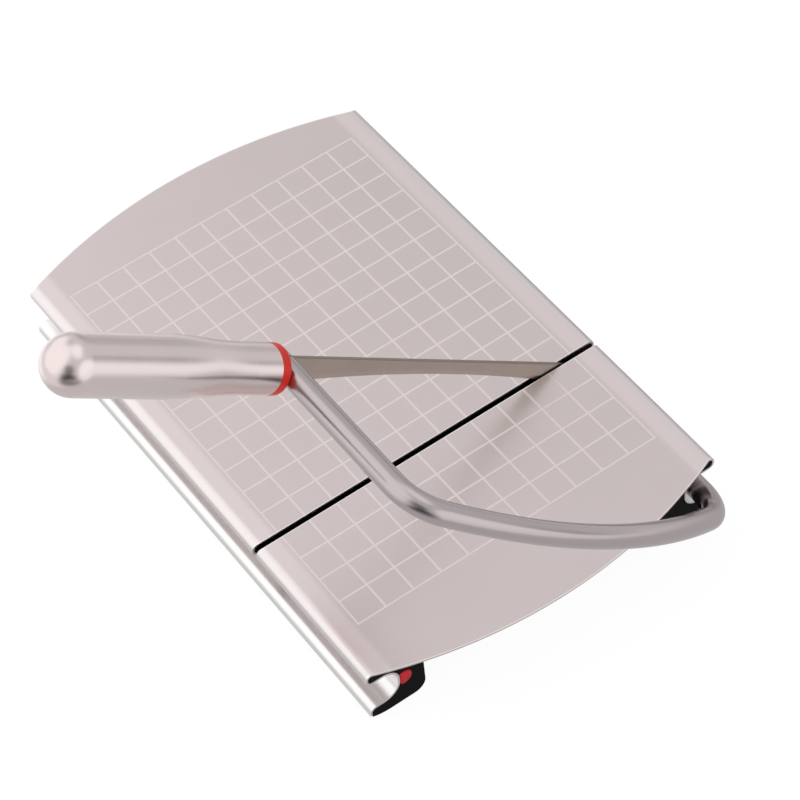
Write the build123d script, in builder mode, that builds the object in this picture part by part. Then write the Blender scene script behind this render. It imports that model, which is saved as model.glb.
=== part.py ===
"""Cheese slicer: a folded steel board on two runners, with a blade on a bent rod arm.

Millimetres. The origin is the centre of the flat top of the board. +X points to the side
with the pivot, +Y to the far end of the board and +Z up.
"""

import os
from math import cos, radians, sin

from build123d import *

# Board: one folded stainless sheet
board_width = 128.6
board_length = 188.0
end_bulge = 12.0
sheet = 0.7
fold_height = 4.6
fold_radius = 2.0
groove_depth = 10.6
groove_height = 12.1
groove_radius = 5.4
shoulder_radius = 2.3
lip_height = 3.4

# Slot across the board, for the blade
slot_setback = 57.8
slot_width = 2.05
slot_depth_pivot_side = 15.2
slot_depth_far_side = 7.0

# Runners: black mouldings inside the two folded sides
runner_width = 19.1
runner_height = 22.2
foot_rise = 1.3
foot_flat = 8.6
foot_radius = 4.0
fit_gap = 0.1

# Plugs in the ends of the runners
plug_head_radius = 2.95
plug_head = 1.0
plug_head_proud = 0.2
plug_head_rounding = 0.4
plug_head_inset = 1.2
plug_drop = 11.0
plug_shank_radius = 1.8
plug_shank_inset = 2.3
plug_shank = 9.0

# Rubber strips under the runners
strip_width = 3.6
strip_thickness = 1.6
strip_proud = 0.4
strip_end_margin = 9.0

# Channel under the slot
channel_wall = 1.8
channel_depth = 16.8
channel_floor = 1.5
channel_stop = 1.6
blade_way = 3.5

# Pivot, in the middle of the right-hand groove, and the arm's angle above the board
pivot_inset = 6.1
pivot_drop = 10.8
rest_angle = 38.65

# Arm: one bent round rod
rod_radius = 3.65
arm_reach = 131.7
handle_bend_radius = 13.9
handle_bend_angle = 68.5
front_bow_angle = 36.5
pivot_bend_radius = 13.5
pivot_bend_gap = 1.3
handle_end_length = 4.0
pivot_end_length = 9.0
rod_end_chamfer = 0.5

# Notches in the rod and screws that hold the blade in them
notch_width = 1.1
notch_past_axis = 1.9
screw_radius = 1.25
screw_head_radius = 2.3
screw_gap = 0.05
screw_tip = 4.0
screw_slit = 0.6

# Blade
blade_thickness = 1.0
spine_height = 3.45
blade_waist = 4.9
blade_pivot_width = 7.4
blade_handle_width = 8.5
blade_waist_place = 60.4
blade_shoulder = 6.0
tongue_half_height = 3.2
tongue_length = 1.7
tongue_corner = 1.2
bevel_width = 1.8
bevel_depth = 0.35

# Handle
handle_drop = 1.0
collar_radius = 7.5
collar_length = 3.4
collar_spigot = 4.0
collar_rounding = 0.5
grip_length = 79.4
grip_radius = 8.95
dome_radius = 8.75
neck_length = 9.5
neck_swell = 27.5
grip_wall = 1.0
stud_radius = 3.0
stud_length = 34.0
stud_saddle = 0.8
core_length = 48.0
core_chamfer = 0.8
handle_gap = 0.05

# Bearing blocks in the pivot groove
running_gap = 0.05
bearing_face_inset = 1.6
bearing_rounding = 0.8
bearing_slot_gap = 1.3
front_bearing_setback = 13.0
front_bearing_length = 18.0
middle_bearing_length = 13.0
rear_bearing_length = 16.0
rear_bore_gap = 0.5
peg_radius = 2.0
peg_depth = 2.2
peg_end_margin = 4.0

# Key that holds the rod in the front bearing
key_thickness = 1.2
key_half_height = 3.6
key_reach = 2.2
key_setback = 6.0
key_side_gap = 0.1
neck_radius = 2.6

# One overrun for all cuts
cut_over = 1.0

# Places worked out from the sizes above
half_width = board_width / 2
half_length = board_length / 2
slot_y = slot_setback - half_length
groove_wall = half_width - groove_depth
groove_floor = -(fold_height + groove_height)
lip_bottom = groove_floor - lip_height
runner_clear = sheet + fit_gap
runner_side = groove_wall - runner_clear
runner_inner = half_width - runner_clear - runner_width
foot_flat_start = runner_inner + foot_radius
foot_flat_end = foot_flat_start + foot_flat
strip_x = foot_flat_start + foot_flat / 2
strip_length = board_length - 2 * strip_end_margin
plug_limit = runner_side - fit_gap
plug_seat_y = -half_length + plug_head - plug_head_proud
channel_width = slot_width + 2 * channel_wall
channel_bottom = -runner_clear - channel_depth
pivot_x = half_width - pivot_inset
peg_end_x = runner_side - peg_depth
pivot_z = -pivot_drop
collar_face = arm_reach + rod_radius + handle_gap
grip_start = collar_face + collar_length
grip_end = grip_start + grip_length
neck_end = grip_start + neck_length
neck_middle_radius = (collar_radius + grip_radius) / 2
core_start = grip_start + collar_spigot + handle_gap
core_radius = collar_radius - grip_wall - handle_gap
front_bearing_y = -half_length + front_bearing_setback + front_bearing_length / 2
middle_bearing_y = slot_y - slot_width / 2 - bearing_slot_gap - middle_bearing_length / 2
rear_bearing_y = slot_y + slot_width / 2 + bearing_slot_gap + rear_bearing_length / 2
front_peg_y = front_bearing_y + front_bearing_length / 2 - peg_end_margin
rear_peg_y = rear_bearing_y + rear_bearing_length / 2 - peg_end_margin
key_y = -half_length + front_bearing_setback + key_setback
peg_places = (front_peg_y, middle_bearing_y, rear_peg_y)

# Planes and axes of the moving arm. In the blade plane, local X runs from the pivot to the
# handle and local Y towards the blade's spine. In the arm plane, local Y points to the near end.
arm_direction = Vector(-cos(radians(rest_angle)), 0, sin(radians(rest_angle)))
arm_normal = Vector(sin(radians(rest_angle)), 0, cos(radians(rest_angle)))
across = Vector(0, 1, 0)
pivot_point = Vector(pivot_x, slot_y, pivot_z)
rod_handle_point = pivot_point + arm_direction * arm_reach
blade_plane = Plane(origin=pivot_point, x_dir=arm_direction, z_dir=across)
arm_plane = Plane(origin=pivot_point, x_dir=arm_direction, z_dir=arm_normal)
handle_plane = Plane(origin=pivot_point - arm_normal * handle_drop, x_dir=arm_direction, z_dir=across)
handle_axis = Axis(handle_plane.origin, arm_direction)


def cross_plane(y):
    """Upright plane across the board at y, with local X along +X and local Y up."""
    return Plane(origin=(0, y, 0), x_dir=(1, 0, 0), z_dir=(0, -1, 0))


def side_corners(inset, start):
    """Corners of the folded side of the sheet, moved inwards by inset, from the top down."""
    return [
        (start, -inset),
        (half_width - inset, -inset),
        (half_width - inset, -fold_height + inset),
        (groove_wall - inset, -fold_height + inset),
        (groove_wall - inset, groove_floor - inset),
        (half_width - inset, groove_floor - inset),
        (half_width - inset, lip_bottom),
    ]


def side_radii(inset):
    """Bend radii at the inner corners of side_corners."""
    return [
        fold_radius - inset,
        fold_radius - inset,
        groove_radius + inset,
        groove_radius + inset,
        shoulder_radius - inset,
    ]


# Board plate: the folded side profile, mirrored, and a bulged flat at each end
with BuildPart() as board_plate:
    with BuildSketch(cross_plane(0)):
        with BuildLine():
            outer_skin = FilletPolyline(side_corners(0, 0), radius=side_radii(0))
            inner_skin = FilletPolyline(side_corners(sheet, 0), radius=side_radii(sheet))
            Line(outer_skin @ 0, inner_skin @ 0)
            Line(outer_skin @ 1, inner_skin @ 1)
        make_face()
        mirror(about=Plane.YZ)
    extrude(amount=half_length, both=True)
    with BuildSketch():
        with BuildLine():
            flat_half = half_width - fold_radius
            far_end = ThreePointArc(
                (-flat_half, half_length), (0, half_length + end_bulge), (flat_half, half_length)
            )
            near_end = ThreePointArc(
                (-flat_half, -half_length), (0, -half_length - end_bulge), (flat_half, -half_length)
            )
            Line(far_end @ 0, near_end @ 0)
            Line(far_end @ 1, near_end @ 1)
        make_face()
    extrude(amount=-sheet)
    with BuildSketch(Plane.XY.offset(cut_over)):
        with Locations((0, slot_y)):
            Rectangle(board_width + 2 * cut_over, slot_width)
    extrude(amount=-(cut_over + fold_height / 2), mode=Mode.SUBTRACT)
    with BuildSketch(cross_plane(slot_y)):
        with Locations((runner_side, 0)):
            Rectangle(
                groove_depth + 2 * cut_over, slot_depth_pivot_side, align=(Align.MIN, Align.MAX)
            )
        with Locations((-runner_side, 0)):
            Rectangle(
                groove_depth + 2 * cut_over, slot_depth_far_side, align=(Align.MAX, Align.MAX)
            )
    extrude(amount=slot_width / 2, both=True, mode=Mode.SUBTRACT)
    with BuildSketch(Plane.YZ.offset(pivot_x)):
        with Locations([(y, pivot_z) for y in peg_places]):
            Circle(peg_radius + fit_gap)
    extrude(amount=runner_side - pivot_x, mode=Mode.SUBTRACT)
board_plate.part.label = "board_plate"


# Runner blank: fills the inside of the folded side and stands on its rounded foot
with BuildPart() as runner_blank:
    with BuildSketch(cross_plane(0)):
        with BuildLine():
            side = FilletPolyline(
                side_corners(runner_clear, runner_inner), radius=side_radii(runner_clear)
            )
            foot_edge = (half_width - runner_clear, -runner_height + foot_rise)
            Line(side @ 1, foot_edge)
            TangentArc((foot_flat_end, -runner_height), foot_edge, tangent=(1, 0))
            Line((foot_flat_end, -runner_height), (foot_flat_start, -runner_height))
            TangentArc(
                (foot_flat_start, -runner_height),
                (runner_inner, -runner_height + foot_radius),
                tangent=(-1, 0),
            )
            Line((runner_inner, -runner_height + foot_radius), side @ 0)
        make_face()
    extrude(amount=half_length, both=True)
    with BuildSketch(cross_plane(slot_y)):
        with Locations((runner_side, 0)):
            Rectangle(
                runner_width, -channel_bottom + fit_gap, align=(Align.MAX, Align.MAX)
            )
    extrude(amount=channel_width / 2 + fit_gap, both=True, mode=Mode.SUBTRACT)
    with BuildSketch(Plane.XY.offset(-runner_height)):
        with Locations((strip_x, 0)):
            SlotOverall(strip_length + 2 * fit_gap, strip_width + 2 * fit_gap, rotation=90)
    extrude(amount=strip_thickness - strip_proud + fit_gap, mode=Mode.SUBTRACT)
    for end in (-1, 1):
        with BuildSketch(cross_plane(end * half_length)):
            with Locations((runner_side - plug_shank_inset, -plug_drop)):
                Circle(plug_shank_radius + fit_gap)
        extrude(amount=end * (plug_shank + fit_gap), mode=Mode.SUBTRACT)
        with BuildSketch(cross_plane(end * half_length)):
            with Locations((runner_side - plug_head_inset, -plug_drop)):
                Circle(plug_head_radius + fit_gap)
        extrude(amount=end * (plug_head - plug_head_proud), mode=Mode.SUBTRACT)


# Right runner: the blade passes right through its tongue, and the bearing pegs enter it
with BuildPart() as right_runner:
    add(runner_blank.part)
    with BuildSketch(cross_plane(slot_y)):
        with Locations((runner_inner, 0)):
            Rectangle(board_width, slot_depth_pivot_side, align=(Align.MIN, Align.MAX))
    extrude(amount=slot_width / 2, both=True, mode=Mode.SUBTRACT)
    with BuildSketch(Plane.YZ.offset(pivot_x)):
        with Locations([(y, pivot_z) for y in peg_places]):
            Circle(peg_radius + fit_gap)
    extrude(amount=peg_end_x - fit_gap - pivot_x, mode=Mode.SUBTRACT)
right_runner.part.label = "right_runner"


# Left runner: the closed blade lies in a short way cut into its tongue
with BuildPart() as left_runner:
    mirror(runner_blank.part, about=Plane.YZ)
    with BuildSketch(cross_plane(slot_y)):
        with Locations((-runner_inner, 0)):
            Rectangle(board_width, blade_way, align=(Align.MAX, Align.MAX))
    extrude(amount=slot_width / 2, both=True, mode=Mode.SUBTRACT)
left_runner.part.label = "left_runner"


# Plugs: a D-shaped head let into the runner's end and a round shank in its bore
with BuildPart() as near_right_plug:
    with BuildSketch(cross_plane(plug_seat_y)):
        with Locations((runner_side - plug_head_inset, -plug_drop)):
            Circle(plug_head_radius)
        with Locations((plug_limit, -plug_drop)):
            Rectangle(
                plug_head_radius,
                3 * plug_head_radius,
                align=(Align.MIN, Align.CENTER),
                mode=Mode.SUBTRACT,
            )
    extrude(amount=plug_head)
    fillet(near_right_plug.faces().sort_by(Axis.Y)[0].edges(), radius=plug_head_rounding)
    with BuildSketch(cross_plane(plug_seat_y)):
        with Locations((runner_side - plug_shank_inset, -plug_drop)):
            Circle(plug_shank_radius)
    extrude(amount=-(plug_shank - plug_head))
near_right_plug.part.label = "near_right_plug"

with BuildPart() as near_left_plug:
    mirror(near_right_plug.part, about=Plane.YZ)
near_left_plug.part.label = "near_left_plug"

with BuildPart() as far_right_plug:
    mirror(near_right_plug.part, about=Plane.XZ)
far_right_plug.part.label = "far_right_plug"

with BuildPart() as far_left_plug:
    mirror(near_left_plug.part, about=Plane.XZ)
far_left_plug.part.label = "far_left_plug"


# Grip strips: rubber, let into the flat of each foot
with BuildPart() as right_grip_strip:
    with BuildSketch(Plane.XY.offset(-runner_height - strip_proud)):
        with Locations((strip_x, 0)):
            SlotOverall(strip_length, strip_width, rotation=90)
    extrude(amount=strip_thickness)
right_grip_strip.part.label = "right_grip_strip"

with BuildPart() as left_grip_strip:
    mirror(right_grip_strip.part, about=Plane.YZ)
left_grip_strip.part.label = "left_grip_strip"


# Slot channel: an open-topped channel halved into both runners, closed at its left end
with BuildPart() as slot_channel:
    with BuildSketch(Plane.XY.offset(-runner_clear)):
        with Locations((0, slot_y)):
            Rectangle(2 * runner_side, channel_width)
    extrude(amount=-channel_depth)
    with BuildSketch(Plane.XY.offset(-runner_clear)):
        with Locations((channel_stop - runner_side, slot_y)):
            Rectangle(2 * runner_side, slot_width, align=(Align.MIN, Align.CENTER))
    extrude(amount=-(channel_depth - channel_floor), mode=Mode.SUBTRACT)
    with BuildSketch(cross_plane(slot_y)):
        with Locations((-runner_side - cut_over, 0)):
            Rectangle(channel_stop + 2 * cut_over, blade_way, align=(Align.MIN, Align.MAX))
    extrude(amount=slot_width / 2, both=True, mode=Mode.SUBTRACT)
slot_channel.part.label = "slot_channel"


def bearing_section():
    """Section of a bearing block: fills the groove, with the groove's own rounding inside."""
    face_x = half_width - bearing_face_inset
    corner_radius = groove_radius - fit_gap
    with BuildSketch(cross_plane(0)) as section:
        with BuildLine():
            FilletPolyline(
                (face_x, -fold_height - fit_gap),
                (groove_wall + fit_gap, -fold_height - fit_gap),
                (groove_wall + fit_gap, groove_floor + fit_gap),
                (face_x, groove_floor + fit_gap),
                radius=[bearing_rounding, corner_radius, corner_radius, bearing_rounding],
                close=True,
            )
        make_face()
    return section.sketch


# Bearing blocks: each is held by a peg that goes through the sheet into the runner
with BuildPart() as front_bearing:
    with BuildSketch(cross_plane(front_bearing_y)):
        add(bearing_section())
    extrude(amount=front_bearing_length / 2, both=True)
    with BuildSketch(Plane.YZ.offset(pivot_x)):
        with Locations((front_peg_y, pivot_z)):
            Circle(peg_radius)
    extrude(amount=peg_end_x - pivot_x)
    with BuildSketch(cross_plane(front_bearing_y)):
        with Locations((pivot_x, pivot_z)):
            Circle(rod_radius + running_gap)
    extrude(amount=front_bearing_length, both=True, mode=Mode.SUBTRACT)
    with BuildSketch(cross_plane(key_y)):
        with Locations((pivot_x - key_reach - fit_gap, pivot_z)):
            Rectangle(
                groove_depth, 2 * (key_half_height + fit_gap), align=(Align.MIN, Align.CENTER)
            )
    extrude(amount=key_thickness / 2 + fit_gap, both=True, mode=Mode.SUBTRACT)
front_bearing.part.label = "front_bearing"

with BuildPart() as middle_bearing:
    with BuildSketch(cross_plane(middle_bearing_y)):
        add(bearing_section())
    extrude(amount=middle_bearing_length / 2, both=True)
    with BuildSketch(Plane.YZ.offset(pivot_x)):
        with Locations((middle_bearing_y, pivot_z)):
            Circle(peg_radius)
    extrude(amount=peg_end_x - pivot_x)
    with BuildSketch(cross_plane(middle_bearing_y)):
        with Locations((pivot_x, pivot_z)):
            Circle(rod_radius + running_gap)
    extrude(amount=middle_bearing_length, both=True, mode=Mode.SUBTRACT)
middle_bearing.part.label = "middle_bearing"

with BuildPart() as rear_bearing:
    with BuildSketch(cross_plane(rear_bearing_y)):
        add(bearing_section())
    extrude(amount=rear_bearing_length / 2, both=True)
    with BuildSketch(Plane.YZ.offset(pivot_x)):
        with Locations((rear_peg_y, pivot_z)):
            Circle(peg_radius)
    extrude(amount=peg_end_x - pivot_x)
    with BuildSketch(cross_plane(slot_y)):
        with Locations((pivot_x, pivot_z)):
            Circle(rod_radius + running_gap)
    extrude(amount=-(pivot_end_length + rear_bore_gap), mode=Mode.SUBTRACT)
rear_bearing.part.label = "rear_bearing"


# Retaining key: a steel U slid in from outside, with its prongs in the neck of the rod
with BuildPart() as retaining_key:
    with BuildSketch(cross_plane(key_y)):
        with Locations((pivot_x - key_reach, pivot_z)):
            Rectangle(
                half_width - bearing_face_inset - pivot_x + key_reach,
                2 * key_half_height,
                align=(Align.MIN, Align.CENTER),
            )
        with Locations((pivot_x, pivot_z)):
            Circle(neck_radius + running_gap, mode=Mode.SUBTRACT)
            Rectangle(
                groove_depth,
                2 * (neck_radius + running_gap),
                align=(Align.MAX, Align.CENTER),
                mode=Mode.SUBTRACT,
            )
    extrude(amount=key_thickness / 2, both=True)
retaining_key.part.label = "retaining_key"


# Arm rod: handle leg, bend, long front bow, bend and pivot leg. The bow's radius follows from the
# arm's reach, and the handle leg's length from where the pivot bend leaves the board's near end.
bow_start = radians(handle_bend_angle)
bow_end = radians(handle_bend_angle + front_bow_angle)
bends_reach = handle_bend_radius * (1 - cos(bow_start)) + pivot_bend_radius * (1 + cos(bow_end))
front_bow_radius = (arm_reach - bends_reach) / (cos(bow_start) - cos(bow_end))
bends_rise = handle_bend_radius * sin(bow_start) - pivot_bend_radius * sin(bow_end)
bow_rise = bends_rise + front_bow_radius * (sin(bow_end) - sin(bow_start))
handle_leg = slot_setback + pivot_bend_gap - bow_rise

with BuildPart() as arm_rod:
    with BuildLine(arm_plane) as rod_line:
        leg = Line((arm_reach, -handle_end_length), (arm_reach, handle_leg))
        handle_bend = JernArc(leg @ 1, leg % 1, handle_bend_radius, handle_bend_angle)
        front_bow = JernArc(handle_bend @ 1, handle_bend % 1, front_bow_radius, front_bow_angle)
        pivot_bend = JernArc(
            front_bow @ 1,
            front_bow % 1,
            pivot_bend_radius,
            180 - handle_bend_angle - front_bow_angle,
        )
        Line(pivot_bend @ 1, pivot_point + across * pivot_end_length)
    with BuildSketch(Plane(origin=leg @ 0, z_dir=leg % 0)):
        Circle(rod_radius)
    sweep(path=rod_line.wires()[0])
    chamfer(arm_rod.faces().filter_by(GeomType.PLANE).edges(), length=rod_end_chamfer)
    with BuildSketch(blade_plane):
        with Locations((-notch_past_axis, 0)):
            Rectangle(3 * rod_radius, 3 * rod_radius, align=(Align.MIN, Align.CENTER))
        with Locations((arm_reach + notch_past_axis, 0)):
            Rectangle(3 * rod_radius, 3 * rod_radius, align=(Align.MAX, Align.CENTER))
    extrude(amount=notch_width / 2, both=True, mode=Mode.SUBTRACT)
    with Locations(Plane(origin=pivot_point + across * pivot_end_length, z_dir=across)):
        CounterSinkHole(
            screw_radius + screw_gap,
            screw_head_radius + screw_gap,
            depth=pivot_end_length + screw_tip,
            counter_sink_angle=90,
        )
    with Locations(Plane(origin=rod_handle_point + across * handle_end_length, z_dir=across)):
        CounterSinkHole(
            screw_radius + screw_gap,
            screw_head_radius + screw_gap,
            depth=handle_end_length + screw_tip,
            counter_sink_angle=90,
        )
    with BuildSketch(cross_plane(key_y)):
        with Locations((pivot_x, pivot_z)):
            Circle(rod_radius + cut_over)
            Circle(neck_radius, mode=Mode.SUBTRACT)
    extrude(amount=key_thickness / 2 + key_side_gap, both=True, mode=Mode.SUBTRACT)
arm_rod.part.label = "arm_rod"


# Blade: straight spine, hollow cutting edge and a tongue at each end with a screw hole
with BuildPart() as blade:
    with BuildSketch(blade_plane):
        with BuildLine():
            cutting_edge = ThreePointArc(
                (blade_shoulder, spine_height - blade_pivot_width),
                (blade_waist_place, spine_height - blade_waist),
                (arm_reach - blade_shoulder, spine_height - blade_handle_width),
            )
            Polyline(
                cutting_edge @ 0,
                (rod_radius, -tongue_half_height),
                (-tongue_length, -tongue_half_height),
                (-tongue_length, spine_height),
                (arm_reach + tongue_length, spine_height),
                (arm_reach + tongue_length, -tongue_half_height),
                (arm_reach - rod_radius, -tongue_half_height),
                cutting_edge @ 1,
            )
        make_face()
        with Locations((0, 0), (arm_reach, 0)):
            Circle(screw_radius + screw_gap, mode=Mode.SUBTRACT)
    extrude(amount=blade_thickness / 2, both=True)
    tongue_ends = blade.edges().filter_by(Axis.Y).group_by(Axis(pivot_point, arm_direction))
    fillet(tongue_ends[0] + tongue_ends[-1], radius=tongue_corner)
    edge_arcs = blade.edges().filter_by(GeomType.CIRCLE).sort_by(SortBy.RADIUS)[-2:]
    edge_face = blade.faces().filter_by(GeomType.CYLINDER).sort_by(SortBy.AREA)[-1]
    chamfer(edge_arcs, length=bevel_depth, length2=bevel_width, reference=edge_face)
blade.part.label = "blade"


# Blade screws: countersunk, driven in along the rod's axis from each end face
screw_ends = {
    "pivot_blade_screw": (pivot_point, pivot_end_length),
    "handle_blade_screw": (rod_handle_point, handle_end_length),
}
blade_screws = []
for screw_name, (screw_point, end_length) in screw_ends.items():
    screw_plane = Plane(origin=screw_point + across * end_length, x_dir=arm_direction, z_dir=across)
    with BuildPart(screw_plane) as blade_screw:
        with BuildSketch(screw_plane):
            Circle(screw_radius)
        extrude(amount=-(end_length + screw_tip - cut_over))
        with BuildSketch(screw_plane):
            Circle(screw_head_radius)
        extrude(amount=-(screw_head_radius - screw_radius), taper=45)
        with BuildSketch(screw_plane):
            Rectangle(3 * screw_head_radius, screw_slit)
        extrude(amount=-screw_slit, mode=Mode.SUBTRACT)
    blade_screw.part.label = screw_name
    blade_screws.append(blade_screw)


# Handle stud: threaded bar with a saddle that is welded to the rod
with BuildPart() as handle_stud:
    with BuildSketch(handle_plane):
        with Locations((arm_reach + rod_radius - stud_saddle, 0)):
            Rectangle(stud_length, stud_radius, align=(Align.MIN, Align.MIN))
    revolve(axis=handle_axis)
    with BuildSketch(Plane(origin=rod_handle_point, z_dir=across)):
        Circle(rod_radius + handle_gap)
    extrude(amount=2 * rod_radius, both=True, mode=Mode.SUBTRACT)
handle_stud.part.label = "handle_stud"


# Collar: plastic ring between rod and grip, with a spigot inside the mouth of the grip
with BuildPart() as collar_ring:
    with BuildSketch(handle_plane):
        with Locations((collar_face, stud_radius + handle_gap)):
            Rectangle(
                collar_length,
                collar_radius - stud_radius - handle_gap,
                align=(Align.MIN, Align.MIN),
            )
        with Locations((grip_start, stud_radius + handle_gap)):
            Rectangle(
                collar_spigot,
                core_radius - stud_radius - handle_gap,
                align=(Align.MIN, Align.MIN),
            )
    revolve(axis=handle_axis)
    collar_edges = collar_ring.edges().filter_by(GeomType.CIRCLE).sort_by(SortBy.RADIUS)
    fillet(collar_edges.sort_by(handle_axis)[1:2], radius=collar_rounding)
collar_ring.part.label = "collar_ring"


# Core: plastic rod glued into the grip, with a blind bore for the stud
with BuildPart() as handle_core:
    with BuildSketch(handle_plane):
        with Locations((core_start, 0)):
            Rectangle(core_length, core_radius, align=(Align.MIN, Align.MIN))
    revolve(axis=handle_axis)
    chamfer(handle_core.edges().sort_by(handle_axis)[-1], length=core_chamfer)
    with BuildSketch(handle_plane):
        with Locations((core_start, 0)):
            Rectangle(
                arm_reach + rod_radius + stud_length - core_start,
                stud_radius + handle_gap,
                align=(Align.MIN, Align.MIN),
            )
    revolve(axis=handle_axis, mode=Mode.SUBTRACT)
handle_core.part.label = "handle_core"


# Grip: drawn steel tube with a neck at the collar, a fuller body and a round dome
with BuildPart() as handle_shell:
    with BuildSketch(handle_plane):
        for wall in (0, grip_wall):
            with BuildLine():
                neck = Line((grip_start, collar_radius - wall), (neck_end, collar_radius - wall))
                flare = TangentArc(
                    neck @ 1, (neck_end + neck_swell / 2, neck_middle_radius - wall), tangent=(1, 0)
                )
                shoulder = TangentArc(
                    flare @ 1, (neck_end + neck_swell, grip_radius - wall), tangent=flare % 1
                )
                body = Line(shoulder @ 1, (grip_end - dome_radius, dome_radius - wall))
                dome = TangentArc(body @ 1, (grip_end - wall, 0), tangent=(1, 0))
                Polyline(dome @ 1, (grip_start, 0), neck @ 0)
            make_face(mode=Mode.SUBTRACT if wall else Mode.ADD)
    revolve(axis=handle_axis)
handle_shell.part.label = "handle_shell"


pieces = [
    board_plate,
    right_runner,
    left_runner,
    near_right_plug,
    near_left_plug,
    far_right_plug,
    far_left_plug,
    right_grip_strip,
    left_grip_strip,
    slot_channel,
    front_bearing,
    middle_bearing,
    rear_bearing,
    retaining_key,
    arm_rod,
    blade,
    handle_stud,
    collar_ring,
    handle_core,
    handle_shell,
    *blade_screws,
]

os.makedirs("parts", exist_ok=True)
for piece in pieces:
    export_step(piece.part, f"parts/{piece.part.label}.step")
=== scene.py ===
from math import cos, pi, radians, sin

import bpy
from mathutils import Matrix, Vector


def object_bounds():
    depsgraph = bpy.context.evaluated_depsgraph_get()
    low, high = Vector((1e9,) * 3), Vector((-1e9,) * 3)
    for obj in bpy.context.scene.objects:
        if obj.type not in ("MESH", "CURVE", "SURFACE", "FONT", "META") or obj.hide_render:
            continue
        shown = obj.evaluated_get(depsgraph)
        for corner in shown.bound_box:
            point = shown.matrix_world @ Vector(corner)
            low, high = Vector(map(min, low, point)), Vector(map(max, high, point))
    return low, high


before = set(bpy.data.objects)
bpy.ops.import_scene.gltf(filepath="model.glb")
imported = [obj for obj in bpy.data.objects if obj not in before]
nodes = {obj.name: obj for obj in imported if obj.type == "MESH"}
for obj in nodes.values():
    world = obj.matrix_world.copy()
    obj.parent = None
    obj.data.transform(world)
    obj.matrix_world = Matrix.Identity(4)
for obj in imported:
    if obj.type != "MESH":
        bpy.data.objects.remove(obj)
cad_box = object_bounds()
bpy.ops.object.select_all(action="DESELECT")


# The camera stands where the photograph was taken from: about 90 cm away, high over the near
# left corner, with a long lens. Its place was solved from the squares etched on the board.
aim_point = Vector((0.0030, -0.0170, 0.0))
camera_distance = 0.8987
camera_azimuth = radians(-30.66)
camera_elevation = radians(51.21)
camera_roll = radians(-6.30)
camera_lens = 131.28

turned = Matrix.Rotation(camera_azimuth, 3, "Z")
turned = turned @ Matrix.Rotation(pi / 2 - camera_elevation, 3, "X")
turned = turned @ Matrix.Rotation(camera_roll, 3, "Z")
camera_place = aim_point + turned @ Vector((0, 0, camera_distance))
camera = bpy.data.objects.new("camera", bpy.data.cameras.new("camera"))
camera.data.lens = camera_lens
camera.data.sensor_width = 36
camera.matrix_world = Matrix.Translation(camera_place) @ turned.to_4x4()
bpy.context.scene.collection.objects.link(camera)
bpy.context.scene.camera = camera


# The studio is a white table in a white room, with one lamp behind and one in front. The camera
# sees both as white, and mirror-like steel sees the room's brighter and darker places as well.
# A part of the light that falls on the table is left in for the shadow.
class Wire:
    """A socket of a finish. Sums on it add Math nodes."""

    def __init__(self, finish, socket):
        self.finish = finish
        self.socket = socket

    def __add__(self, other):
        return self.finish.maths("ADD", self, other)

    def __sub__(self, other):
        return self.finish.maths("SUBTRACT", self, other)

    def __rsub__(self, other):
        return self.finish.maths("SUBTRACT", other, self)

    def __mul__(self, other):
        return self.finish.maths("MULTIPLY", self, other)

    def __truediv__(self, other):
        return self.finish.maths("DIVIDE", self, other)

    def __pow__(self, other):
        return self.finish.maths("POWER", self, other)

    def __mod__(self, other):
        return self.finish.maths("FLOORED_MODULO", self, other)

    def __abs__(self):
        return self.finish.maths("ABSOLUTE", self)

    __radd__ = __add__
    __rmul__ = __mul__


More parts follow.
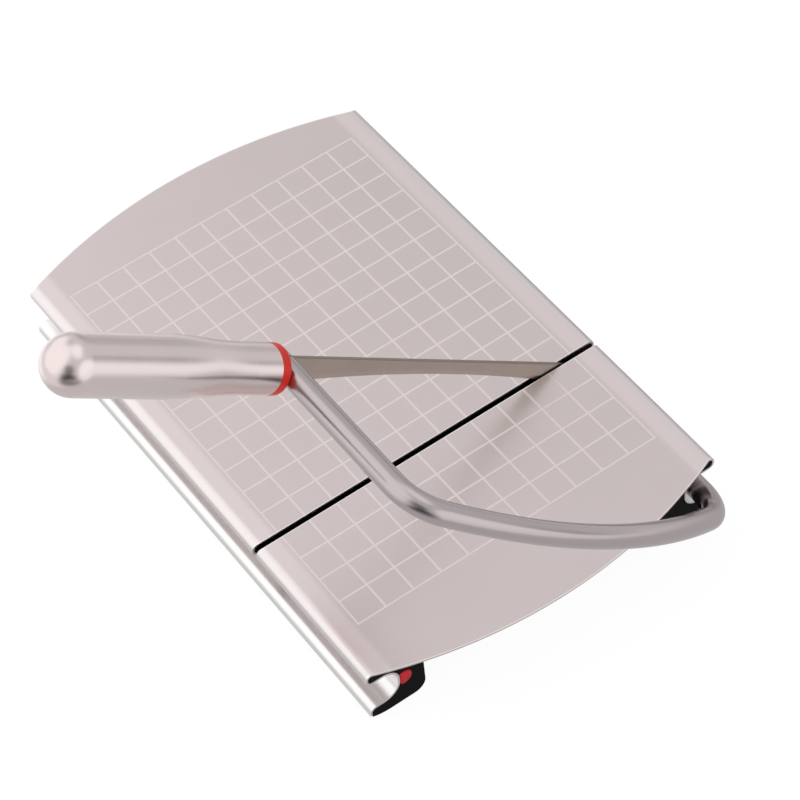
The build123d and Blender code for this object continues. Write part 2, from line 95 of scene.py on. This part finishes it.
class Finish:
    """The node tree of a material or of the world, with one method that adds any node."""

    def __init__(self, owner):
        owner.use_nodes = True
        self.owner = owner
        self.tree = owner.node_tree
        self.tree.nodes.clear()

    def node(self, kind, settings, values, output=0):
        node = self.tree.nodes.new("ShaderNode" + kind)
        for name, value in settings.items():
            setattr(node, name, value)
        for name, value in values.items():
            if isinstance(value, Wire):
                self.tree.links.new(value.socket, node.inputs[name])
            else:
                node.inputs[name].default_value = value
        return Wire(self, node.outputs[output]) if node.outputs else node

    def maths(self, operation, *values):
        return self.node("Math", {"operation": operation}, dict(enumerate(values)))

    def place(self, output="Object"):
        """A point's three object coordinates, or its object normal's, in metres."""
        point = self.node("TexCoord", {}, {}, output)
        parted = self.node("SeparateXYZ", {}, {"Vector": point})
        return [Wire(self, socket) for socket in parted.socket.node.outputs]

    def dot(self, first, second):
        """The dot product of two vectors."""
        return self.node("VectorMath", {"operation": "DOT_PRODUCT"}, {0: first, 1: second}, "Value")

    def along(self, origin, direction):
        """How far a point lies from origin in a direction."""
        point = self.node("TexCoord", {}, {}, "Object")
        offset = self.node("VectorMath", {"operation": "SUBTRACT"}, {0: point, 1: origin})
        return self.dot(offset, direction)

    def step(self, value, low, high):
        """0 below low, 1 above high and smooth between. Turned round where low is above high."""
        return self.node(
            "MapRange",
            {"interpolation_type": "SMOOTHSTEP"},
            {"Value": value, "From Min": low, "From Max": high},
        )

    def blend(self, share, first, second):
        """A colour that goes from first to second."""
        values = {"Factor": share, 6: first, 7: second}
        return self.node("Mix", {"data_type": "RGBA"}, values, 2)

    def tinted(self, colour, low, high, amount):
        """A colour that is darkened to low of itself and lightened to high, as amount rises."""
        dark = tuple(part * low for part in colour)
        light = tuple(part * high for part in colour)
        return self.blend(amount, (*dark, 1), (*light, 1))

    def noise(self, settings, **values):
        """A noise texture."""
        return self.node("TexNoise", settings, values)

    def grain(self, scale, turn=(0, 0, 0), spread=(1, 1, 1), detail=3.0, roughness=0.6):
        """Noise in a turned frame, drawn out along the axes whose spread is large."""
        point = self.node("TexCoord", {}, {}, "Object")
        values = {"Vector": point, "Rotation": turn, "Scale": spread}
        laid = self.node("Mapping", {"vector_type": "TEXTURE"}, values)
        return self.noise({}, Vector=laid, Scale=scale, Detail=detail, Roughness=roughness)

    def bump(self, height, depth, normal=None):
        """A surface raised by depth where height is 1."""
        values = {"Height": height, "Distance": depth}
        if normal:
            values["Normal"] = normal
        return self.node("Bump", {}, values)

    def skin(self, **values):
        """The finish's shader. Words in a name are joined by an underscore."""
        values = {name.replace("_", " "): value for name, value in values.items()}
        shader = self.node("BsdfPrincipled", {}, values)
        self.node("OutputMaterial", {}, {"Surface": shader})


def finish(name):
    return Finish(bpy.data.materials.new(name))


def rays(tree, name):
    """1 for rays of one kind, such as those from the camera or from a mirror, and 0 for others."""
    return Wire(tree, tree.node("LightPath", {}, {}).socket.node.outputs[f"Is {name} Ray"])


def patch(azimuth, elevation, inner, outer):
    """1 in the room within inner degrees of a direction, which is given from +X towards +Y and
    up, 0 beyond outer degrees and smooth between them."""
    turn, rise = radians(azimuth), radians(elevation)
    direction = (cos(turn) * cos(rise), sin(turn) * cos(rise), sin(rise))
    return room.step(room.dot(sight, direction), cos(radians(outer)), cos(radians(inner)))


white = (1, 1, 1, 1)
room_light = 0.55
mirror_room = 0.76
mirror_brightest = 1.22
room_lights = [
    (140, 45, 36, 58, 0.53),
    (165, 12, 22, 45, 0.28),
    (-32, 64, 10, 22, 0.42),
    (-66, 6, 27, 34, 0.55),
    (12, 60, 8, 24, 0.40),
    (82, 24, 8, 26, 0.42),
    (46, 41, 3, 11, 0.14),
]
room_darks = [
    (-133, -4, 13, 34, 0.95),
    (-127, 33, 7, 22, 0.70),
    (-21, 6, 3, 9, 0.40),
    (43, -2, 4, 14, 0.25),
    (33, 4, 8, 22, 0.25),
    (54, 50, 5, 22, 0.15),
]

room = Finish(bpy.data.worlds.new("room"))
bpy.context.scene.world = room.owner
sight = room.node("TexCoord", {}, {}, "Generated")
mirrored = mirror_room
for *where, glow in room_lights:
    mirrored = mirrored + glow * patch(*where)
mirrored = room.maths("MINIMUM", mirrored, mirror_brightest)
for *where, depth in room_darks:
    mirrored = mirrored * (1 - depth * patch(*where))
by_camera = room.maths("MAXIMUM", rays(room, "Camera"), rays(room, "Transmission"))
by_mirror = rays(room, "Glossy")
room_strength = room_light + by_mirror * (mirrored - room_light) + by_camera * (1 - room_light)
room_glow = room.node("Background", {}, {"Color": white, "Strength": room_strength})
room.node("OutputWorld", {}, {"Surface": room_glow})

table_level = cad_box[0][2]
table_white = (0.95, 0.95, 0.95, 1)
table_shadow_share = 0.11
table_glow_strength = 1.06
mirrored_drop = 0.11
front_lift = 0.21
window_lift = 0.34
painted_shadow_near_drop = 0.24
shade_drop = 0.42
far_right_drop = 0.3
behind_drop = 0.7

bpy.ops.mesh.primitive_plane_add(size=8, location=(0, 0, table_level))
table = bpy.context.object
table.name = "table"
table_finish = finish("table_white")
step = table_finish.step
x, y, _ = table_finish.place()
# For mirrors the table glows brighter in front and in a window patch. It is darker in a painted
# shadow near the board (near), in painted shade to its right (shade), and in darker places far
# right and behind.
front = step(0.55 * x - 0.83 * y, 0.24, 0.38)
window = step(((x + 0.18) ** 2 + (y - 0.26) ** 2) ** 0.5, 0.24, 0.12)
near = step(((x + 0.03) ** 2 + (y + 0.12) ** 2) ** 0.5, 0.32, 0.25)
shade = step(x, 0.05, 0.09) * step(x, 0.24, 0.12) * step(y, -0.10, -0.03) * step(y, 0.26, 0.12)
far_right = step(0.61 * x + 0.79 * y, 0.36, 0.48) * step(x, 0.10, 0.22)
reach_behind = -0.68 * x - 0.73 * y
aside = abs(0.73 * x - 0.68 * y) / table_finish.maths("MAXIMUM", reach_behind, 0.1)
behind = step(reach_behind, 0.34, 0.46) * step(aside, 0.80, 0.30)
lift = front_lift * front + window_lift * window - mirrored_drop
drop = painted_shadow_near_drop * near + shade_drop * shade + far_right_drop * far_right + behind_drop * behind

by_mirror = rays(table_finish, "Glossy")
by_camera = rays(table_finish, "Camera")
by_sight = table_finish.maths("MAXIMUM", by_camera, rays(table_finish, "Transmission"))
table_glow = table_glow_strength * (1 + by_mirror * (lift - drop))
table_glow = table_finish.node("Emission", {}, {"Color": white, "Strength": table_glow})
table_lit = table_finish.node("BsdfDiffuse", {}, {"Color": table_white})
table_share = (1 - table_shadow_share) * table_finish.maths("MAXIMUM", by_sight, by_mirror)
table_mix = table_finish.node("MixShader", {}, {0: table_share, 1: table_lit, 2: table_glow})
table_finish.node("OutputMaterial", {}, {"Surface": table_mix})
table.data.materials.append(table_finish.owner)


def softbox(name, place, width, height, glow):
    """An area lamp that faces the board. Glow is how bright it looks, with white at 1."""
    lamp = bpy.data.objects.new(name, bpy.data.lights.new(name, "AREA"))
    lamp.data.shape = "RECTANGLE"
    lamp.data.size = width
    lamp.data.size_y = height
    lamp.data.energy = pi * width * height * glow
    lamp.location = place
    lamp.rotation_euler = Vector(place).to_track_quat("Z", "Y").to_euler()
    lamp.visible_camera = False
    lamp.visible_glossy = False
    bpy.context.scene.collection.objects.link(lamp)


softbox("back_left_softbox", (-0.95, 0.75, 0.75), 1.2, 1.0, 1.7)
softbox("front_right_softbox", (1.1, -0.8, 0.5), 0.8, 0.6, 1.4)


# The board is one stainless sheet, 0.7 mm thick, satin on its flat top. Its folds carry a
# painted highlight, its grooves painted light against their shade, the margins beside the folds a
# painted sheen, and the top corners of its sheared edges a painted highlight. A cutting guide in
# 10 mm squares is etched on the top.
slot_y = -0.0362
slot_half = 0.001025
end_arc_centre = 0.06172
end_arc_radius = 0.16772
corner_y = 0.094
corner_x = 0.0618
edge_highlight_width = 0.0004
edge_highlight_core = 0.0001
square = 0.010
guide_half_width = 0.055
guide_near = -0.0772
guide_far = 0.0838
guide_middle = -0.0367
guide_gap = 0.0005
guide_past = 0.0003
guide_past_core = 0.0002
line_half = 0.00034
line_blur = 0.00006
margin_sheen_start = 0.0550
fold_start = 0.0608
sheet_tint = (0.66, 0.583, 0.578)
margin_sheen_tint = (0.755, 0.665, 0.665)
fold_highlight_tint = (0.79, 0.735, 0.73)
groove_painted_light_tint = (0.88, 0.86, 0.85)
etched_tint = (0.90, 0.80, 0.79)
sheared_tint = (0.66, 0.60, 0.58)
edge_highlight_tint = (0.95, 0.9, 0.89)


def dress(material, *names):
    """Puts a material on pieces of the frame."""
    for name in names:
        nodes[name].data.materials.clear()
        nodes[name].data.materials.append(material.owner)


board = finish("board_steel")
step = board.step
x, y, z = board.place()
_, lengthwise, _ = board.place("Normal")
across = abs(x)
on_top = step(z, -0.0006, -0.0001)
sheared = step(abs(lengthwise), 0.06, 0.12)

# Painted highlight along the top corners of the sheared edges, beside the slot, round the end arcs
# and across the ends.
beside_slot = step(abs(abs(y - slot_y) - slot_half), edge_highlight_width, edge_highlight_core)
end_reach = (x * x + (abs(y) + end_arc_centre) ** 2) ** 0.5
beside_arc = step(end_reach, end_arc_radius - edge_highlight_width, end_arc_radius - edge_highlight_core)
beside_end = step(abs(y), corner_y - edge_highlight_width, corner_y - edge_highlight_core)
beside_end = beside_end * step(across, corner_x, corner_x + 0.0006)
edge_highlight = on_top * board.maths("MAXIMUM", beside_slot, beside_arc)
edge_highlight = board.maths("MAXIMUM", edge_highlight, beside_end)

from_line_x = abs((across + square) % square - square / 2)
from_line_y = abs((abs(y - guide_middle) - guide_gap + square / 2) % square - square / 2)
line_x = step(from_line_x, line_half + line_blur, line_half - line_blur)
line_y = step(from_line_y, line_half + line_blur, line_half - line_blur)
in_guide = step(across, guide_half_width + guide_past, guide_half_width + guide_past_core)
in_guide = in_guide * step(y, guide_near - guide_past, guide_near - guide_past_core)
in_guide = in_guide * step(y, guide_far + guide_past, guide_far + guide_past_core)
etched = on_top * in_guide * board.maths("MAXIMUM", line_x, line_y)

satin = board.grain(5200, spread=(1, 3, 1), detail=2)
cloud = board.grain(24, detail=4)
drawn = board.grain(900, spread=(1, 60, 1), detail=2)
# Painted sheen: the margins between the guide and the folds are painted lighter.
margin_sheen = step(across, margin_sheen_start, margin_sheen_start + 0.0025)
colour = board.tinted(sheet_tint, 0.96, 1.04, cloud)
colour = board.blend(margin_sheen, colour, (*margin_sheen_tint, 1))
# Painted highlight on the folds, and painted light that lifts the shade in the grooves.
colour = board.blend(step(across, fold_start, fold_start + 0.0018), colour, (*fold_highlight_tint, 1))
colour = board.blend(step(z, -0.0050, -0.0062), colour, (*groove_painted_light_tint, 1))
colour = board.blend(etched * 0.85, colour, (*etched_tint, 1))
colour = board.blend(sheared, colour, (*sheared_tint, 1))
colour = board.blend(edge_highlight * (1 - sheared), colour, (*edge_highlight_tint, 1))
rough = 0.32 + 0.04 * drawn + on_top * (0.06 * satin + 0.14 * etched - 0.06) + 0.15 * sheared
rolled = board.bump(1 - step(across, fold_start, fold_start + 0.0033), 0.0004)
board.skin(
    Base_Color=colour,
    Metallic=1.0 - 0.6 * etched,
    Roughness=rough,
    Normal=board.bump(satin * on_top, 0.000006, rolled),
)
dress(board, "board_plate")


# The two runners are black moulded plastic with the fine spark texture of the mould. The channel
# under the slot gets the same black finish, which keeps the slot dark inside. The runners fill the
# folded sides, and the channel is halved into both.
# The runner's plug beside the pivot is of the same plastic.
moulded_tint = (0.0020, 0.0018, 0.0024)

moulded = finish("runner_plastic")
spark = moulded.grain(2600, detail=3)
cloud = moulded.grain(60, detail=3)
moulded.skin(
    Base_Color=moulded.tinted(moulded_tint, 0.7, 1.4, cloud),
    Roughness=0.5 + 0.15 * spark,
    Specular_IOR_Level=0.05,
    Normal=moulded.bump(spark, 0.00003),
)
dress(moulded, "left_runner", "right_runner", "slot_channel", "near_right_plug")


# The other three plugs close the cored ends of the runners as well. They are deep red plastic,
# pressed in, with a smooth moulded head.
plug_tint = (0.68, 0.014, 0.030)

plug = finish("plug_red")
spark = plug.grain(1500, detail=2)
plug.skin(
    Base_Color=plug.tinted(plug_tint, 0.85, 1.12, plug.grain(300, detail=2)),
    Roughness=0.32 + 0.1 * spark,
    Specular_IOR_Level=0.15,
    Normal=plug.bump(spark, 0.00001),
)
dress(plug, "near_left_plug", "far_left_plug", "far_right_plug")


# The grip strips are black rubber let into the foot of each runner, with fine ribs across them
# and a little dust.
rib_spacing = 0.0016
rib_depth = 0.00025
rubber_tint = (0.03, 0.03, 0.031)

rubber = finish("strip_rubber")
_, y, _ = rubber.place()
rib = abs((y % rib_spacing) / (rib_spacing / 2) - 1)
ribbed = rubber.bump(rubber.step(rib, 0.3, 0.7), rib_depth)
dust = rubber.grain(900, detail=4)
rubber.skin(
    Base_Color=rubber.tinted(rubber_tint, 0.7, 1.6, dust),
    Roughness=0.7 + 0.2 * dust,
    Specular_IOR_Level=0.3,
    Normal=rubber.bump(dust, 0.00004, ribbed),
)
dress(rubber, "left_grip_strip", "right_grip_strip")


# The bearing blocks that the rod turns in are black, slippery plastic, a little smoother than
# the runners. They are pegged into the groove on the pivot side.
bearing_tint = (0.005, 0.005, 0.0055)

bearing = finish("bearing_plastic")
spark = bearing.grain(1800, detail=3)
bearing.skin(
    Base_Color=bearing.tinted(bearing_tint, 0.8, 1.3, bearing.grain(90, detail=3)),
    Roughness=0.34 + 0.16 * spark,
    Specular_IOR_Level=0.12,
    Normal=bearing.bump(spark, 0.00002),
)
dress(bearing, "front_bearing", "middle_bearing", "rear_bearing")


# The arm is one bent stainless rod. It was brushed along its length before it was bent, so its
# fine streaks follow it, and the steel between them is fairly bright.
rest_angle = radians(38.65)
pivot_point = (0.0582, slot_y, -0.0108)
arm_direction = (-cos(rest_angle), 0, sin(rest_angle))
arm_normal = (sin(rest_angle), 0, cos(rest_angle))
arm_turn = Matrix((arm_direction, (0, -1, 0), arm_normal)).transposed().to_euler()
rod_tint = (0.50, 0.44, 0.45)

rod = finish("rod_steel")
from_plane = rod.along(pivot_point, arm_normal)
streaks = rod.noise({"noise_dimensions": "1D"}, W=from_plane, Scale=2600, Detail=3, Roughness=0.6)
fine = rod.grain(1500, turn=arm_turn, spread=(6, 6, 1), detail=3)
cloud = rod.grain(45, detail=3)
rod.skin(
    Base_Color=rod.tinted(rod_tint, 0.9, 1.08, 0.5 * streaks + 0.25 * fine + 0.25 * cloud),
    Metallic=1.0,
    Roughness=0.14 + 0.12 * streaks + 0.06 * fine,
    Normal=rod.bump(streaks, 0.000012),
)
dress(rod, "arm_rod")


# The blade is thin stainless steel, ground across its width, with a darker line along its spine.
# Its colour is a little darker and warmer than the other steel, a painted warm reflection. A screw
# holds each end in the rod.
spine_height = 0.00345
# Steel tint with a painted warm reflection in it.
blade_steel_and_reflection_tint = (0.50, 0.45, 0.395)
spine_tint = (0.24, 0.21, 0.17)

blade = finish("blade_steel")
height = blade.along(pivot_point, arm_normal)
ground = blade.grain(2600, turn=arm_turn, spread=(1, 1, 24), detail=3)
cloud = blade.grain(70, turn=arm_turn, spread=(2.5, 1, 1), detail=4)
near_spine = blade.step(height, spine_height - 0.0004, spine_height - 0.0001)
colour = blade.tinted(blade_steel_and_reflection_tint, 0.78, 1.2, 0.35 * ground + 0.65 * cloud)
blade.skin(
    Base_Color=blade.blend(near_spine * 0.8, colour, (*spine_tint, 1)),
    Metallic=1.0,
    Roughness=0.24 + 0.12 * ground + 0.06 * cloud,
    Normal=blade.bump(ground, 0.00001),
)
dress(blade, "blade")


# The screws, the key and the stud are plain turned steel, with fine rings from the lathe. The
# key holds the rod in its front bearing, and the stud holds the grip on the rod.
fastener_tint = (0.56, 0.55, 0.55)

fastener = finish("small_steel")
_, y, _ = fastener.place()
turned_rings = fastener.noise({"noise_dimensions": "1D"}, W=y, Scale=9000, Detail=2)
fastener.skin(
    Base_Color=fastener.tinted(fastener_tint, 0.85, 1.1, fastener.grain(220, detail=3)),
    Metallic=1.0,
    Roughness=0.22 + 0.16 * turned_rings,
    Normal=fastener.bump(turned_rings, 0.000008),
)
dress(fastener, "retaining_key", "pivot_blade_screw", "handle_blade_screw", "handle_stud")


# The collar is a ring of bright red plastic between rod and grip, smooth from the mould, with
# faint flow marks in its colour.
collar_tint = (0.84, 0.030, 0.018)

collar = finish("collar_red")
flow = collar.grain(160, turn=arm_turn, spread=(1, 3, 3), detail=3)
collar.skin(
    Base_Color=collar.tinted(collar_tint, 0.88, 1.1, flow),
    Roughness=0.3 + 0.1 * flow,
    Specular_IOR_Level=0.3,
    Normal=collar.bump(collar.grain(1400, detail=2), 0.000008),
)
dress(collar, "collar_ring")


# The core inside the grip is grey plastic that the stud screws into. Only the joint of the
# handle shows it, if anything does.
core_tint = (0.05, 0.05, 0.052)

core = finish("core_plastic")
flow = core.grain(400, detail=3)
core.skin(
    Base_Color=core.tinted(core_tint, 0.8, 1.3, flow),
    Roughness=0.45 + 0.15 * flow,
    Normal=core.bump(flow, 0.00002),
)
dress(core, "handle_core")


# The grip is a drawn steel tube with a domed end. It was brushed round and round on a lathe, so
# highlights draw out along it, and soft bands show where the belt stopped.
grip_tint = (0.76, 0.66, 0.65)

grip = finish("grip_steel")
brushed = grip.grain(7000, turn=arm_turn, spread=(1, 40, 40), detail=1)
bands = grip.grain(110, turn=arm_turn, spread=(1, 8, 8), detail=3)
cloud = grip.grain(40, turn=arm_turn, spread=(3, 1, 1), detail=3)
grip.skin(
    Base_Color=grip.tinted(grip_tint, 0.92, 1.06, 0.2 * brushed + 0.3 * bands + 0.5 * cloud),
    Metallic=1.0,
    Roughness=0.18 + 0.05 * brushed + 0.06 * bands,
    Normal=grip.bump(brushed, 0.0000015),
)
dress(grip, "handle_shell")

bpy.context.scene.view_settings.view_transform = "Standard"
